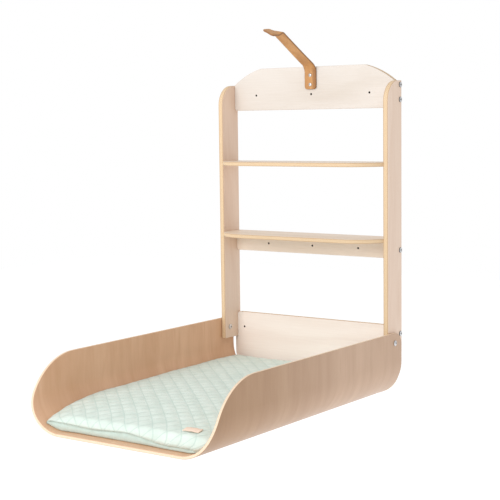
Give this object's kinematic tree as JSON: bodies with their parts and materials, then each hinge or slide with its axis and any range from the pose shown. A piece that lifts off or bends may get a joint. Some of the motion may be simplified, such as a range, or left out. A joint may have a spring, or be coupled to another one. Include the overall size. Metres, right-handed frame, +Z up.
{
  "type": "wall-mounted folding changing table",
  "caption": "Wall-mounted birch plywood changing table: moulded tray with quilted mattress folds up under open shelves; leather strap at the top.",
  "frame": {"origin": "middle wall-screw hole of the top panel, on the wall plane", "axes": "+X to the table's right as seen from the room, +Y into the wall, +Z up; the tray points towards -Y"},
  "size_m": [0.6186, 0.915, 1.0566],
  "materials": {
    "birch_ply": "clear-lacquered birch plywood, open laminated edges",
    "moulded_ply": "clear-lacquered moulded birch plywood, open laminated edges",
    "mattress_fabric": "quilted cotton, diamond stitching",
    "foam": "polyurethane foam, hidden",
    "label_tape": "woven sewn-on label, blank",
    "zinc_steel": "bright zinc-plated steel",
    "washer_plastic": "natural nylon",
    "beech": "fluted beech dowel, hidden",
    "leather": "vegetable-tanned leather with burnished edges"
  },
  "bodies": {
    "frame": {"left_post": "birch_ply", "right_post": "birch_ply", "top_panel": "birch_ply", "upper_shelf": "birch_ply", "lower_shelf": "birch_ply", "wall_rail": "birch_ply", "lower_panel": "birch_ply", "pivot_sleeve_left": "zinc_steel", "pivot_sleeve_right": "zinc_steel", "pivot_screw_left": "zinc_steel", "pivot_screw_right": "zinc_steel", "pivot_washer_left": "washer_plastic", "pivot_washer_right": "washer_plastic", "top_panel_bolts_left": "zinc_steel", "top_panel_bolts_right": "zinc_steel", "rail_bolt_left": "zinc_steel", "rail_bolt_right": "zinc_steel", "lower_panel_bolt_left": "zinc_steel", "lower_panel_bolt_right": "zinc_steel", "cross_dowels": "zinc_steel", "upper_shelf_dowels": "beech", "lower_shelf_dowels": "beech", "strap_base": "leather", "strap_screws": "zinc_steel"},
    "tray": {"tray_shell": "moulded_ply", "mattress_cover": "mattress_fabric", "mattress_core": "foam", "mattress_label": "label_tape"},
    "strap": {"strap_tail": "leather"}
  },
  "joints": [
    {"name": "tray_fold", "type": "hinge", "parent": "frame", "child": "tray", "pos_m": [0, -0.055, -0.717], "axis": [-1, 0, 0], "range_deg": [0, 90]},
    {"name": "strap_flex", "type": "hinge", "parent": "frame", "child": "strap", "pos_m": [0, -0.02263, 0.07878], "axis": [-1, 0, 0], "range_deg": [-6.5, 60], "stiffness_Nm_per_rad": 2, "springref_deg": 1.23}
  ]
}
